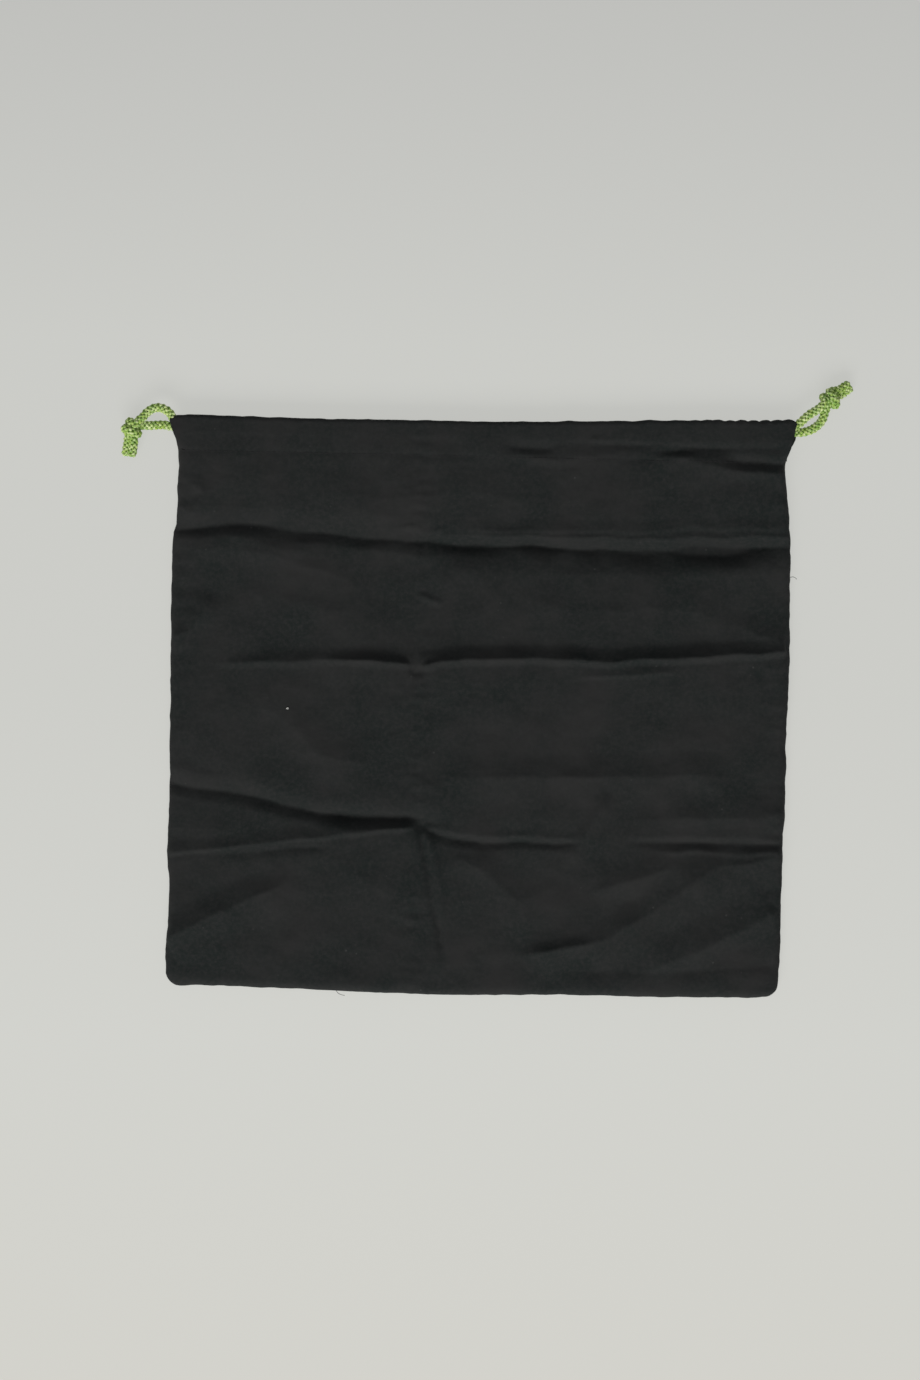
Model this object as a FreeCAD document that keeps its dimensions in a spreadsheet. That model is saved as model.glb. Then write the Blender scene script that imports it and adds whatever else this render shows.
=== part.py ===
import FreeCAD, Part
import math
import os
import Sketcher
from FreeCAD import Placement, Rotation, Vector

# A small drawstring sack of black cotton, lying flat and empty on its back panel.
# Its mouth has a front and a back casing (the hem, turned over and sewn down into a tunnel).
# Two cords run through both casings: each goes in at one side, turns round at the other side
# and comes back out beside itself, where its two ends are tied in one overhand knot.
# +X runs across the sack, +Y towards its mouth and +Z up. The origin is at the middle of the
# sack's underside. All sizes are in millimetres.

doc = FreeCAD.newDocument("drawstring_sack")

# ---------------------------------------------------------------- driving dimensions
SIZES = [
    ("sack_width", 350.0, "over the two side seams"),
    ("sack_height", 327.0, "bottom edge to the top of the mouth"),
    ("cloth", 0.6, "one ply of the cotton"),
    ("mouth_gap", 4.6, "between the two casings as the sack lies"),
    ("casing_depth", 22.0, "stitch line to the top of the mouth"),
    ("hem_lip", 4.0, "flat strip that the casing's seam is sewn through"),
    ("casing_rise", 5.5, "over which the upper ply climbs off the seam"),
    ("ear", 2.0, "outer ply past the side seam, at each end of a casing"),
    ("seam_allowance", 8.0, "plies turned in along the side and bottom seams"),
    ("cord_dia", 4.0, "braided cord"),
    ("cord_play", 0.3, "between a cord and the cloth around it"),
    ("run_pitch", 6.2, "between the two cords that share a casing"),
    ("knot_dia", 12.0, "overhand knot tied in two cords together"),
    ("knot_lift", 0.2, "knot above the floor"),
    ("thread_width", 0.5, "sewing thread, across the seam"),
    ("thread_height", 0.3, "sewing thread, proud of the cloth"),
    ("pull_gap", 0.3, "between a cord's sliding run and its far turn"),
]
sheet = doc.addObject("Spreadsheet::Sheet", "Sizes")
for row, (alias, number, note) in enumerate(SIZES, start=1):
    sheet.set(f"A{row}", alias)
    sheet.set(f"B{row}", str(number))
    sheet.set(f"C{row}", note)
    sheet.setAlias(f"B{row}", alias)
doc.recompute()

# ---------------------------------------------------------------- sizes that follow from them
CLOTH = "Sizes.cloth"
CORD_RADIUS = "Sizes.cord_dia / 2"
CHANNEL = "(Sizes.cord_dia + 2 * Sizes.cord_play)"
CASING_HEIGHT = f"({CHANNEL} + 2 * {CLOTH})"
FRONT_LEVEL = f"({CASING_HEIGHT} + Sizes.mouth_gap)"
BODY_HEIGHT = f"({FRONT_LEVEL} + {CLOTH})"
EDGE_RADIUS = f"({BODY_HEIGHT} / 2)"
EDGE_BORE = f"({EDGE_RADIUS} - {CLOTH})"
PANEL_EDGE = f"(Sizes.sack_width / 2 - {EDGE_RADIUS})"
EAR_END = "(Sizes.sack_width / 2 + Sizes.ear)"
TOP = "(Sizes.sack_height / 2)"
STITCH_LINE = f"({TOP} - Sizes.casing_depth)"
HEM_START = f"({STITCH_LINE} - Sizes.hem_lip / 2)"
BOTTOM_LINE = f"(Sizes.sack_height / 2 - {EDGE_RADIUS})"
FOLD_RADIUS = f"({CASING_HEIGHT} / 2)"
FOLD_BORE = f"({CHANNEL} / 2)"
FOLD_LINE = f"({TOP} - {FOLD_RADIUS})"
FULL_LINE = f"({STITCH_LINE} + Sizes.hem_lip / 2 + Sizes.casing_rise)"
SIDE_LENGTH = f"({HEM_START} + {BOTTOM_LINE})"
RIGHT_RUN = FOLD_LINE
LEFT_RUN = f"({FOLD_LINE} - Sizes.run_pitch)"
BACK_RUN_LEVEL = f"({CLOTH} + {CHANNEL} / 2)"
FRONT_RUN_LEVEL = f"({FRONT_LEVEL} + {BACK_RUN_LEVEL})"
TURN_RADIUS = f"({FRONT_LEVEL} / 2)"
KNOT_LEVEL = "(Sizes.knot_dia / 2 + Sizes.knot_lift)"


UP = Vector(0, 0, 1)
ALONG_X = Rotation(Vector(0, 1, 0), 90)


def number(expression):
    """The present value of an expression over the sheet."""
    return float(sheet.evalExpression(expression))


def bind(item, **expressions):
    """Drive an object's properties from the sheet; x, y and z are its position."""
    for name, expression in expressions.items():
        path = f"Placement.Base.{name}" if name in ("x", "y", "z") else name
        item.setExpression(path, expression)


def part_object(kind, name, rotation=None, **expressions):
    """A Part primitive with its sizes and position bound to the sheet."""
    item = doc.addObject(kind, name)
    if rotation is not None:
        item.Placement = Placement(Vector(), rotation)
    bind(item, **expressions)
    return item


def cut(name, base, tool):
    """Base less tool."""
    item = doc.addObject("Part::Cut", name)
    item.Base = base
    item.Tool = tool
    return item


def fuse(name, shapes):
    """Several shapes as one."""
    item = doc.addObject("Part::MultiFuse", name)
    item.Shapes = shapes
    item.Refine = True
    return item


pieces = []


def piece(item, label):
    """Keep an object as one of the sack's pieces, under its own label."""
    item.Label = label
    pieces.append(item)


# ---------------------------------------------------------------- panels
# Each panel is one flat ply. The rounded edges between the two belong to the seams.
for label, level in (("back_panel", "0"), ("front_panel", FRONT_LEVEL)):
    panel = part_object(
        "Part::Box", f"{label}_ply",
        Length=f"2 * {PANEL_EDGE}", Width=SIDE_LENGTH, Height=CLOTH,
        x=f"-{PANEL_EDGE}", y=f"-{BOTTOM_LINE}", z=level)
    piece(panel, label)


# ---------------------------------------------------------------- side and bottom seams
ALLOWANCE_ROOT = f"({EDGE_BORE} + {CLOTH} / 2)"
CORNER_CLIP = "Sizes.seam_allowance"


def half_tube(name, rotation, length, **place):
    """The rounded edge where the two panels come together: half of a thin tube."""
    skins = []
    for layer, radius in (("outer", EDGE_RADIUS), ("inner", EDGE_BORE)):
        skin = part_object(
            "Part::Cylinder", f"{name}_{layer}", rotation,
            Radius=radius, Height=length, Angle="180", **place)
        skins.append(skin)
    return cut(f"{name}_skin", skins[0], skins[1])


for label, side in (("left_side_seam", -1), ("right_side_seam", 1)):
    turned = Rotation(UP * side, Vector(side, 0, 0), Vector(0, 1, 0), "YZX")
    edge = half_tube(
        label, turned, SIDE_LENGTH,
        x=f"{side} * {PANEL_EDGE}", y=f"-{BOTTOM_LINE}", z=EDGE_RADIUS)
    inner_end = f"{PANEL_EDGE} + {ALLOWANCE_ROOT} - Sizes.seam_allowance"
    allowance_x = f"{inner_end}" if side > 0 else f"-({inner_end}) - Sizes.seam_allowance"
    allowance = part_object(
        "Part::Box", f"{label}_allowance",
        Length="Sizes.seam_allowance", Width=f"{SIDE_LENGTH} - {CORNER_CLIP}", Height=f"2 * {CLOTH}",
        x=allowance_x, y=f"{CORNER_CLIP} - {BOTTOM_LINE}", z=f"{EDGE_RADIUS} - {CLOTH}")
    piece(fuse(f"{label}_all", [edge, allowance]), label)

bottom_edge = half_tube(
    "bottom_seam", Rotation(UP, Vector(0, -1, 0), Vector(1, 0, 0), "YZX"), f"2 * {PANEL_EDGE}",
    x=f"-{PANEL_EDGE}", y=f"-{BOTTOM_LINE}", z=EDGE_RADIUS)
bottom_parts = [bottom_edge]
for side, start_angle in ((-1, 180), (1, 270)):
    shells = []
    for layer, radius in (("outer", EDGE_RADIUS), ("inner", EDGE_BORE)):
        shell = part_object(
            "Part::Sphere", f"corner_{layer}_{start_angle}",
            Rotation(UP, start_angle),
            Radius=radius, Angle3="90",
            x=f"{side} * {PANEL_EDGE}", y=f"-{BOTTOM_LINE}", z=EDGE_RADIUS)
        shells.append(shell)
    bottom_parts.append(cut(f"corner_{start_angle}", shells[0], shells[1]))
bottom_allowance = part_object(
    "Part::Box", "bottom_seam_allowance",
    Length=f"2 * ({PANEL_EDGE} - {CORNER_CLIP})", Width="Sizes.seam_allowance", Height=f"2 * {CLOTH}",
    x=f"{CORNER_CLIP} - {PANEL_EDGE}", y=f"-{BOTTOM_LINE} - {ALLOWANCE_ROOT}",
    z=f"{EDGE_RADIUS} - {CLOTH}")
bottom_parts.append(bottom_allowance)
piece(fuse("bottom_seam_all", bottom_parts), "bottom_seam")


# ---------------------------------------------------------------- casings
def origin_plane(body, role):
    """One of a body's own origin planes."""
    for feature in body.Origin.OriginFeatures:
        if feature.Role == role:
            return feature
    raise ValueError(role)


def place_point(sketch, geometry, end, across, up=None):
    """Fix one end of a sketch line from the origin, by expressions."""
    for kind, expression in (("DistanceX", across), ("DistanceY", up)):
        if expression is None:
            continue
        index = sketch.addConstraint(
            Sketcher.Constraint(kind, -1, 1, geometry, end, number(expression)))
        sketch.setExpression(f"Constraints[{index}]", expression)


def closed_loop(sketch, corners, centre):
    """Lines through the corners, closed by a half-round from the last one back to the first."""
    points = [Vector(number(across), number(up), 0) for across, up in corners]
    first = sketch.GeometryCount
    for start, end in zip(points, points[1:]):
        sketch.addGeometry(Part.LineSegment(start, end), False)
    last = sketch.GeometryCount - 1
    middle = Vector(number(centre[0]), number(centre[1]), 0)
    radius = (points[-1] - middle).Length
    circle = Part.Circle(middle, UP, radius)
    arc = sketch.addGeometry(Part.ArcOfCircle(circle, -math.pi / 2, math.pi / 2), False)
    for line in range(first, last):
        sketch.addConstraint(Sketcher.Constraint("Coincident", line, 2, line + 1, 1))
    for offset, (across, up) in enumerate(corners[:-1]):
        place_point(sketch, first + offset, 1, across, up)
    place_point(sketch, last, 2, corners[-1][0])
    place_point(sketch, arc, 3, *centre)
    sketch.addConstraint(Sketcher.Constraint("Coincident", arc, 1, first, 1))
    sketch.addConstraint(Sketcher.Constraint("Coincident", arc, 2, last, 2))


def casing(label, level, ear_level):
    """The hem turned over into a tunnel: two plies sewn together below, folded round above."""
    body = doc.addObject("PartDesign::Body", label)
    bind(body, z=level)
    plane = origin_plane(body, "YZ_Plane")
    slope_start = f"({STITCH_LINE} + Sizes.hem_lip / 2)"
    section = body.newObject("Sketcher::SketchObject", f"{label}_section")
    section.AttachmentSupport = [(plane, "")]
    section.MapMode = "FlatFace"
    closed_loop(section, [
        (FOLD_LINE, "0"),
        (HEM_START, "0"),
        (HEM_START, f"2 * {CLOTH}"),
        (slope_start, f"2 * {CLOTH}"),
        (FULL_LINE, CASING_HEIGHT),
        (FOLD_LINE, CASING_HEIGHT),
    ], (FOLD_LINE, FOLD_RADIUS))
    closed_loop(section, [
        (FOLD_LINE, CLOTH),
        (f"{slope_start} + 2 * {CLOTH}", CLOTH),
        (f"{FULL_LINE} + {CLOTH} / 2", f"{CASING_HEIGHT} - {CLOTH}"),
        (FOLD_LINE, f"{CASING_HEIGHT} - {CLOTH}"),
    ], (FOLD_LINE, FOLD_RADIUS))
    tunnel = body.newObject("PartDesign::Pad", f"{label}_tunnel")
    tunnel.Profile = section
    tunnel.Midplane = True
    tunnel.setExpression("Length", f"2 * {PANEL_EDGE}")
    ear_section = body.newObject("Sketcher::SketchObject", f"{label}_ear_section")
    ear_section.AttachmentSupport = [(plane, "")]
    ear_section.MapMode = "FlatFace"
    ear_corners = [
        (FULL_LINE, ear_level),
        (FOLD_LINE, ear_level),
        (FOLD_LINE, f"{ear_level} + {CLOTH}"),
        (FULL_LINE, f"{ear_level} + {CLOTH}"),
    ]
    ear_points = [Vector(number(across), number(up), 0) for across, up in ear_corners]
    for index, start in enumerate(ear_points):
        ear_section.addGeometry(Part.LineSegment(start, ear_points[(index + 1) % 4]), False)
    for index in range(4):
        ear_section.addConstraint(
            Sketcher.Constraint("Coincident", index, 2, (index + 1) % 4, 1))
        place_point(ear_section, index, 1, *ear_corners[index])
    ears = body.newObject("PartDesign::Pad", f"{label}_ears")
    ears.Profile = ear_section
    ears.Midplane = True
    ears.setExpression("Length", f"2 * {EAR_END}")
    piece(body, label)


casing("back_casing", "0", "0")
casing("front_casing", FRONT_LEVEL, f"({CASING_HEIGHT} - {CLOTH})")


# ---------------------------------------------------------------- sewing threads
def thread(label, length, width, **place):
    """One row of sewing, as the thread that lies on the cloth."""
    row = part_object(
        "Part::Box", f"{label}_row",
        Length=length, Width=width, Height="Sizes.thread_height", **place)
    piece(row, label)


HALF_THREAD = "Sizes.thread_width / 2"
SEAM_THREAD = f"({PANEL_EDGE} + {EDGE_BORE} - 2 * Sizes.thread_width)"
for label, level in (("back_casing_thread", "0"), ("front_casing_thread", FRONT_LEVEL)):
    thread(
        label, f"2 * {PANEL_EDGE}", "Sizes.thread_width",
        x=f"-{PANEL_EDGE}", y=f"{STITCH_LINE} - {HALF_THREAD}", z=f"{level} + 2 * {CLOTH}")
for label, side in (("left_side_thread", -1), ("right_side_thread", 1)):
    thread(
        label, "Sizes.thread_width", f"{SIDE_LENGTH} - {CORNER_CLIP}",
        x=f"{side} * {SEAM_THREAD} - {HALF_THREAD}", y=f"{CORNER_CLIP} - {BOTTOM_LINE}",
        z=f"{EDGE_RADIUS} + {CLOTH}")
thread(
    "bottom_thread", f"2 * ({PANEL_EDGE} - {CORNER_CLIP})", "Sizes.thread_width",
    x=f"{CORNER_CLIP} - {PANEL_EDGE}",
    y=f"-{BOTTOM_LINE} - {EDGE_BORE} + 2 * Sizes.thread_width - {HALF_THREAD}",
    z=f"{EDGE_RADIUS} + {CLOTH}")


# ---------------------------------------------------------------- cords inside the casings
for cord, side, line in (("left_cord", -1, LEFT_RUN), ("right_cord", 1, RIGHT_RUN)):
    levels = (("front", FRONT_RUN_LEVEL), ("back", BACK_RUN_LEVEL))
    for face, level in levels:
        start = f"-{PANEL_EDGE}" if side < 0 else f"Sizes.pull_gap - {PANEL_EDGE}"
        run = part_object(
            "Part::Cylinder", f"{cord}_{face}_run_rod", ALONG_X,
            Radius=CORD_RADIUS, Height=f"2 * {PANEL_EDGE} - Sizes.pull_gap",
            x=start, y=line, z=level)
        piece(run, f"{cord}_{face}_run")
    # The far turn: half a ring, upright, round the end of the mouth on the other side.
    turn = part_object(
        "Part::Torus", f"{cord}_turn_ring",
        Rotation(UP, Vector(-side, 0, 0), Vector(0, -side, 0), "YZX"),
        Radius1=TURN_RADIUS, Radius2=CORD_RADIUS, Angle3="180",
        x=f"{-side} * {PANEL_EDGE}", y=line, z=f"{BACK_RUN_LEVEL} + {TURN_RADIUS}")
    piece(turn, f"{cord}_turn")


# ---------------------------------------------------------------- cords outside: strands and tails
def corner_arc(before, corner, after):
    """The arc that rounds one corner of a route, with the tangent points either side of it."""
    incoming = corner - before
    outgoing = after - corner
    turn = incoming.getAngle(outgoing)
    reach = 0.45 * min(incoming.Length, outgoing.Length)
    radius = reach / math.tan(turn / 2)
    start = corner - Vector(incoming).normalize() * reach
    end = corner + Vector(outgoing).normalize() * reach
    inward = (Vector(outgoing).normalize() - Vector(incoming).normalize()).normalize()
    depth = radius / math.cos(turn / 2) - radius
    return start, corner + inward * depth, end, radius


def route_wire(points):
    """Straight stretches joined by tangent arcs, and the radius of each arc."""
    edges = []
    radii = []
    here = points[0]
    for before, corner, after in zip(points, points[1:], points[2:]):
        start, middle, end, radius = corner_arc(before, corner, after)
        edges.append(Part.LineSegment(here, start).toShape())
        edges.append(Part.Arc(start, middle, end).toShape())
        radii.append(radius)
        here = end
    edges.append(Part.LineSegment(here, points[-1]).toShape())
    return Part.Wire(edges), radii


def cord_tube(label, points):
    """A round cord swept along its route."""
    wire, radii = route_wire(points)
    spine = doc.addObject("Part::Feature", f"{label}_spine")
    spine.Shape = wire
    ring = doc.addObject("Part::Circle", f"{label}_ring")
    ring.Placement = Placement(points[0], Rotation(UP, points[1] - points[0]))
    bind(ring, Radius=CORD_RADIUS)
    tube = doc.addObject("Part::Sweep", f"{label}_tube")
    tube.Sections = [ring]
    tube.Spine = (spine, [f"Edge{index + 1}" for index in range(len(wire.Edges))])
    tube.Solid = True
    doc.recompute()
    expected = math.pi * number(CORD_RADIUS) ** 2 * wire.Length
    shown = ", ".join(f"{radius:.1f}" for radius in radii)
    print(f"{label}: length {wire.Length:.1f}, radii {shown}, "
          f"volume {tube.Shape.Volume:.1f} of {expected:.1f}")
    return tube


# Each strand's corners: outward from the mouth's end, up towards +Y, and how far its level has
# come (0 at the casing's level, 1 at the knot's).
STRANDS = {
    "left_cord": {
        "front": [(0, 0, 0), (7.4, 0, 0), (12.6, 5.4, 0.1), (16.6, 10.4, 0.3), (22.2, 12.0, 0.5),
                  (27.0, 8.6, 0.7), (29.5, 4.8, 0.82), (30.2, 3.1, 0.86)],
        "back": [(0, 0, 0), (6.9, 0, 0), (13.8, 0.6, 0.1), (20.6, -1.6, 0.3),
                 (25.0, -2.6, 0.5), (27.2, -2.3, 0.6)],
    },
    "right_cord": {
        "front": [(0, 0, 0), (6.6, 0, 0), (12.8, 3.6, 0.1), (17.8, 9.0, 0.35), (21.8, 14.2, 0.65),
                  (24.9, 16.8, 0.8)],
        "back": [(0, 0, 0), (6.8, 0, 0), (13.8, -0.4, 0.1), (20.0, 2.0, 0.2), (24.9, 6.4, 0.35),
                 (27.4, 11.4, 0.5), (28.4, 14.4, 0.6)],
    },
}
# Each knot's middle, outward and up from the mouth's end, and the way its tails point.
KNOTS = {"left_cord": ((31.3, -1.0), (0.10, -1.0)), "right_cord": ((28.9, 18.7), (0.66, 0.75))}
# Each tail's corners: along its way from the knot's middle, half the gap between the two tails,
# and its level as a share of the knot's.
TAIL = [(4.2, 0.15, 1.0), (8.0, 0.25, 0.86), (12.0, 0.15, 0.66), (15.8, 0.35, 0.5)]

for cord, side, line in (("left_cord", -1, LEFT_RUN), ("right_cord", 1, RIGHT_RUN)):
    mouth_end = number(PANEL_EDGE)
    knot_level = number(KNOT_LEVEL)
    (knot_out, knot_up), (way_out, way_up) = KNOTS[cord]
    knot_point = Vector(side * (mouth_end + knot_out), number(line) + knot_up, knot_level)
    held = []
    for face, level in (("front", FRONT_RUN_LEVEL), ("back", BACK_RUN_LEVEL)):
        route = []
        for out, up, share in STRANDS[cord][face]:
            height = number(level) + (knot_level - number(level)) * share
            route.append(Vector(side * (mouth_end + out), number(line) + up, height))
        strand = cord_tube(f"{cord}_{face}_strand", route)
        piece(strand, f"{cord}_{face}_strand")
        held.append(strand)
    way = Vector(side * way_out, way_up, 0).normalize()
    aside = UP.cross(way)
    for face, hand in (("front", 1), ("back", -1)):
        route = []
        for along, half_gap, share in TAIL:
            beside = number(CORD_RADIUS) + half_gap
            point = knot_point + way * along + aside * (hand * beside)
            point.z = knot_level * share
            route.append(point)
        tail = cord_tube(f"{cord}_{face}_tail", route)
        piece(tail, f"{cord}_{face}_tail")
        held.append(tail)
    ball = part_object("Part::Sphere", f"{cord}_knot_ball", Radius="Sizes.knot_dia / 2")
    ball.Placement.Base = knot_point
    knot = ball
    for index, tube in enumerate(held):
        knot = cut(f"{cord}_knot_less_{index + 1}", knot, tube)
    piece(knot, f"{cord}_knot")

# ---------------------------------------------------------------- check and write
doc.recompute()
for item in doc.Objects:
    if "Invalid" in item.State or "Error" in item.State:
        raise RuntimeError(f"{item.Label} failed: {item.State}")
for item in pieces:
    if item.Shape.isNull() or not item.Shape.isValid():
        raise RuntimeError(f"{item.Label} has no valid shape")
os.makedirs("parts", exist_ok=True)
for item in pieces:
    item.Shape.exportStep(f"parts/{item.Label}.step")
    box = item.Shape.BoundBox
    print(f"{item.Label}: {len(item.Shape.Solids)} solid, {item.Shape.Volume:.1f} mm3, "
          f"x {box.XMin:.1f} to {box.XMax:.1f}, y {box.YMin:.1f} to {box.YMax:.1f}, "
          f"z {box.ZMin:.1f} to {box.ZMax:.1f}")
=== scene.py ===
# %% [markdown]
# # A drawstring sack of black cotton
# The sack lies flat and empty. This lesson dresses a finished engineering model of it: the model
# gives every piece its place and its size, and each step below makes one visible piece or finish
# that goes in that place. Everything is in metres, +X across the sack, +Y to its mouth and +Z up.

# %% Load the model
import math

import bpy
import numpy as np
from mathutils import Matrix, Vector, noise


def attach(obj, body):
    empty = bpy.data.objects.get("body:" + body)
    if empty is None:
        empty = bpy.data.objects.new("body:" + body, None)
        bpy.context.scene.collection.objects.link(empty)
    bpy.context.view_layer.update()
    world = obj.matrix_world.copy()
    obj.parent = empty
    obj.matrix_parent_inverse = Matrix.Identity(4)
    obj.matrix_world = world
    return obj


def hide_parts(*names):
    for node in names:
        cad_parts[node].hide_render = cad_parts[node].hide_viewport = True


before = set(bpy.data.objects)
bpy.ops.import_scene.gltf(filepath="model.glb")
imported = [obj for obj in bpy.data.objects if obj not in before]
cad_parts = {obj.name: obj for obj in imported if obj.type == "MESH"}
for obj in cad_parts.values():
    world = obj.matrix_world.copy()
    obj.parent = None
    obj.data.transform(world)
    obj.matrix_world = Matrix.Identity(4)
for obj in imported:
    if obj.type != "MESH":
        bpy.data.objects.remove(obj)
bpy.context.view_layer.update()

MM = 0.001
UP = Vector((0, 0, 1))

# %% [markdown]
# ## The camera
# The sack is seen from straight above, as on a copy stand. A fairly long lens keeps its outline
# square. The sack isn't quite square to the picture, so the camera is rolled a little about its
# own axis instead of turning the sack, whose place is fixed by the model.

# %% Camera
PICTURE_HEIGHT = 0.788
LENS = 60.0
SENSOR = 36.0
ROLL = math.radians(1.3)
CLOTH_LEVEL = 0.010
LOOK_AT = (-0.0096, 0.0083)
camera_data = bpy.data.cameras.new("copy_stand")
camera_data.lens = LENS
camera_data.sensor_width = SENSOR
camera = bpy.data.objects.new("copy_stand", camera_data)
camera.location = (*LOOK_AT, CLOTH_LEVEL + PICTURE_HEIGHT * LENS / SENSOR)
camera.rotation_euler = (0, 0, ROLL)
bpy.context.collection.objects.link(camera)
bpy.context.scene.camera = camera
print("camera height in m:", round(camera.location.z, 3))

# %% [markdown]
# ## The routes of the cords
# Two cords close the mouth. At each side two strands come out of the casing, bend towards each
# other and are tied in one overhand knot, with two short tails. A cord is a curve first: a NURBS
# spline with a few given points, as a rope would be laid on a table. It has order 3, so
# it bends smoothly, and both values are set after the points, because they count the points.

# %% A curve from hand-chosen points, and even points read from it
CURVE_STEPS = 16


def lay_route(name, route):
    """Lay a NURBS curve along a route given in millimetres."""
    data = bpy.data.curves.new(name, "CURVE")
    data.dimensions = "3D"
    data.resolution_u = CURVE_STEPS
    spline = data.splines.new("NURBS")
    spline.points.add(len(route) - 1)
    for point, place in zip(spline.points, route):
        point.co = (*[value * MM for value in place], 1)
    spline.order_u = 3
    spline.use_endpoint_u = True
    return bpy.data.objects.new(name, data)


def read_route(name, route, step):
    """Give points evenly spaced along the curve of a route."""
    holder = lay_route(name, route)
    line = bpy.data.meshes.new_from_object(holder)
    places = np.array([vertex.co[:] for vertex in line.vertices])
    bpy.data.objects.remove(holder)
    bpy.data.meshes.remove(line)
    gaps = np.linalg.norm(np.diff(places, axis=0), axis=1)
    travelled = np.concatenate(([0], np.cumsum(gaps)))
    count = max(4, int(round(travelled[-1] / step)) + 1)
    even = np.linspace(0, travelled[-1], count)
    return np.stack([np.interp(even, travelled, places[:, axis]) for axis in range(3)], axis=1)


# %% [markdown]
# The knot is one cord wound round the other. The wound cord's points go round the other cord in a
# short helix, whose axis lies between the way the strands come in and the way the tails leave.

# %% The winding of a knot
WIND_RADIUS = 3.95
WIND_PITCH = 4.5
POINTS_A_TURN = 13


def winding(middle, axis, first_angle, last_angle):
    """Points of a cord wound round an axis through the knot's middle."""
    along = Vector((*axis, 0)).normalized()
    side = Vector((along.y, -along.x, 0))
    turns = abs(last_angle - first_angle) / 360
    steps = int(turns * POINTS_A_TURN)
    points = []
    for step in range(steps + 1):
        share = step / steps
        angle = math.radians(first_angle + (last_angle - first_angle) * share)
        place = Vector(middle) + along * (share - 0.5) * turns * WIND_PITCH
        place += side * WIND_RADIUS * math.cos(angle) + UP * WIND_RADIUS * math.sin(angle)
        points.append(tuple(place))
    return points


# %% Points of the four free ends, in millimetres
left_middle = (-200.2, 153.6, 6.5)
right_middle = (198.6, 179.0, 6.5)
left_front_route = [
    (-169.5, 154.4, 8.7), (-173.6, 154.8, 8.6), (-176.4, 158.6, 8.8), (-178.8, 163.0, 9.2),
    (-182.9, 165.6, 9.6), (-187.8, 165.8, 9.6), (-191.9, 163.0, 9.4), (-194.6, 159.6, 9.6),
    (-197.0, 157.6, 10.0),
] + winding(left_middle, (-0.62, -0.79), 100, -352) + [
    (-199.2, 147.6, 6.6), (-199.9, 143.6, 5.6), (-200.4, 140.4, 4.6), (-200.9, 138.0, 3.9),
]
left_back_route = [
    (-169.5, 154.4, 2.9), (-176.4, 155.2, 2.9), (-183.0, 156.9, 3.1), (-189.4, 156.0, 3.6),
    (-194.2, 156.0, 4.6), (-198.4, 155.4, 5.8), (-201.6, 152.6, 6.4), (-202.9, 148.8, 5.6),
    (-203.2, 145.0, 4.2), (-204.2, 141.2, 3.0), (-204.4, 138.4, 2.5),
]
right_front_route = [
    (169.5, 160.6, 8.7), (176.0, 160.9, 8.9), (180.8, 164.8, 9.3), (186.0, 170.0, 9.6),
    (190.2, 172.4, 9.8), (194.0, 175.4, 10.2),
] + winding(right_middle, (0.72, 0.69), 110, 535) + [
    (200.4, 184.0, 7.4), (203.6, 184.9, 6.9), (206.8, 187.2, 6.0), (209.2, 188.9, 5.2),
]
right_back_route = [
    (169.5, 160.6, 2.9), (176.3, 160.6, 2.9), (184.0, 160.3, 3.1), (190.2, 162.7, 3.4),
    (194.6, 167.0, 3.9), (195.9, 172.0, 4.7), (197.0, 176.4, 5.8), (199.8, 179.8, 6.3),
    (203.2, 181.6, 5.2), (206.2, 183.6, 3.6), (209.2, 185.6, 2.7), (211.2, 187.0, 2.5),
]
print("points of the front cords:", len(left_front_route), "and", len(right_front_route))

# %% [markdown]
# ## The braid
# The cord is a soft braid: eight yarns, four winding one way and four the other, each passing over
# and under the ones it meets. A bump on a plain tube can't give the notched outline that a braid
# shows, so each yarn is its own flattened strand. A yarn's distance from the middle rises and
# falls once per crossing, and the two families rise in turn, which is what weaves them together.

# %% Directions square to a line, carried along it without twist
def carried_frames(points):
    """The tangent and two directions square to it at each point."""
    tangents = np.gradient(points, axis=0)
    tangents /= np.linalg.norm(tangents, axis=1)[:, None]
    first = np.zeros_like(points)
    start = np.array(UP) - tangents[0] * tangents[0][2]
    first[0] = start / np.linalg.norm(start)
    for index in range(1, len(points)):
        carried = first[index - 1] - tangents[index] * np.dot(first[index - 1], tangents[index])
        first[index] = carried / np.linalg.norm(carried)
    return tangents, first, np.cross(tangents, first)


# %% One yarn's ring of vertices at every point of its path
RING = 6


def ring_sweep(centres, out, across, half_out, half_across):
    """Vertices and faces of a tube of flattened section, closed at both ends."""
    angles = np.arange(RING) * 2 * math.pi / RING
    rings = (centres[:, None, :]
             + out[:, None, :] * (half_out[:, None] * np.cos(angles))[:, :, None]
             + across[:, None, :] * (half_across[:, None] * np.sin(angles))[:, :, None])
    count = len(centres)
    faces = []
    for index in range(count - 1):
        for corner in range(RING):
            after = (corner + 1) % RING
            here, there = index * RING, (index + 1) * RING
            faces.append((here + corner, here + after, there + after, there + corner))
    faces.append(tuple(reversed(range(RING))))
    faces.append(tuple((count - 1) * RING + corner for corner in range(RING)))
    return rings.reshape(-1, 3), faces


# %% The braid along a line
YARNS_EACH_WAY = 4
BRAID_RADIUS = 1.80 * MM
BRAID_SWING = 0.42 * MM
YARN_HALF_THICK = 0.50 * MM
YARN_HALF_WIDE = 0.92 * MM
BRAID_TURN = 10.4 * MM
CORE_RADIUS = 1.50 * MM
YARN_SWAY = 0.24
YARN_RISE = 0.30 * MM
SWAY_SIZE = 2.2 * MM
SHADE_SIZE = 1.5 * MM
SQUEEZED = 0.78
SQUEEZE_REACH = (4 * MM, 11 * MM)
TIP_GIRTH = 0.62
TIP_LENGTH = 1.6 * MM


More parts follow.
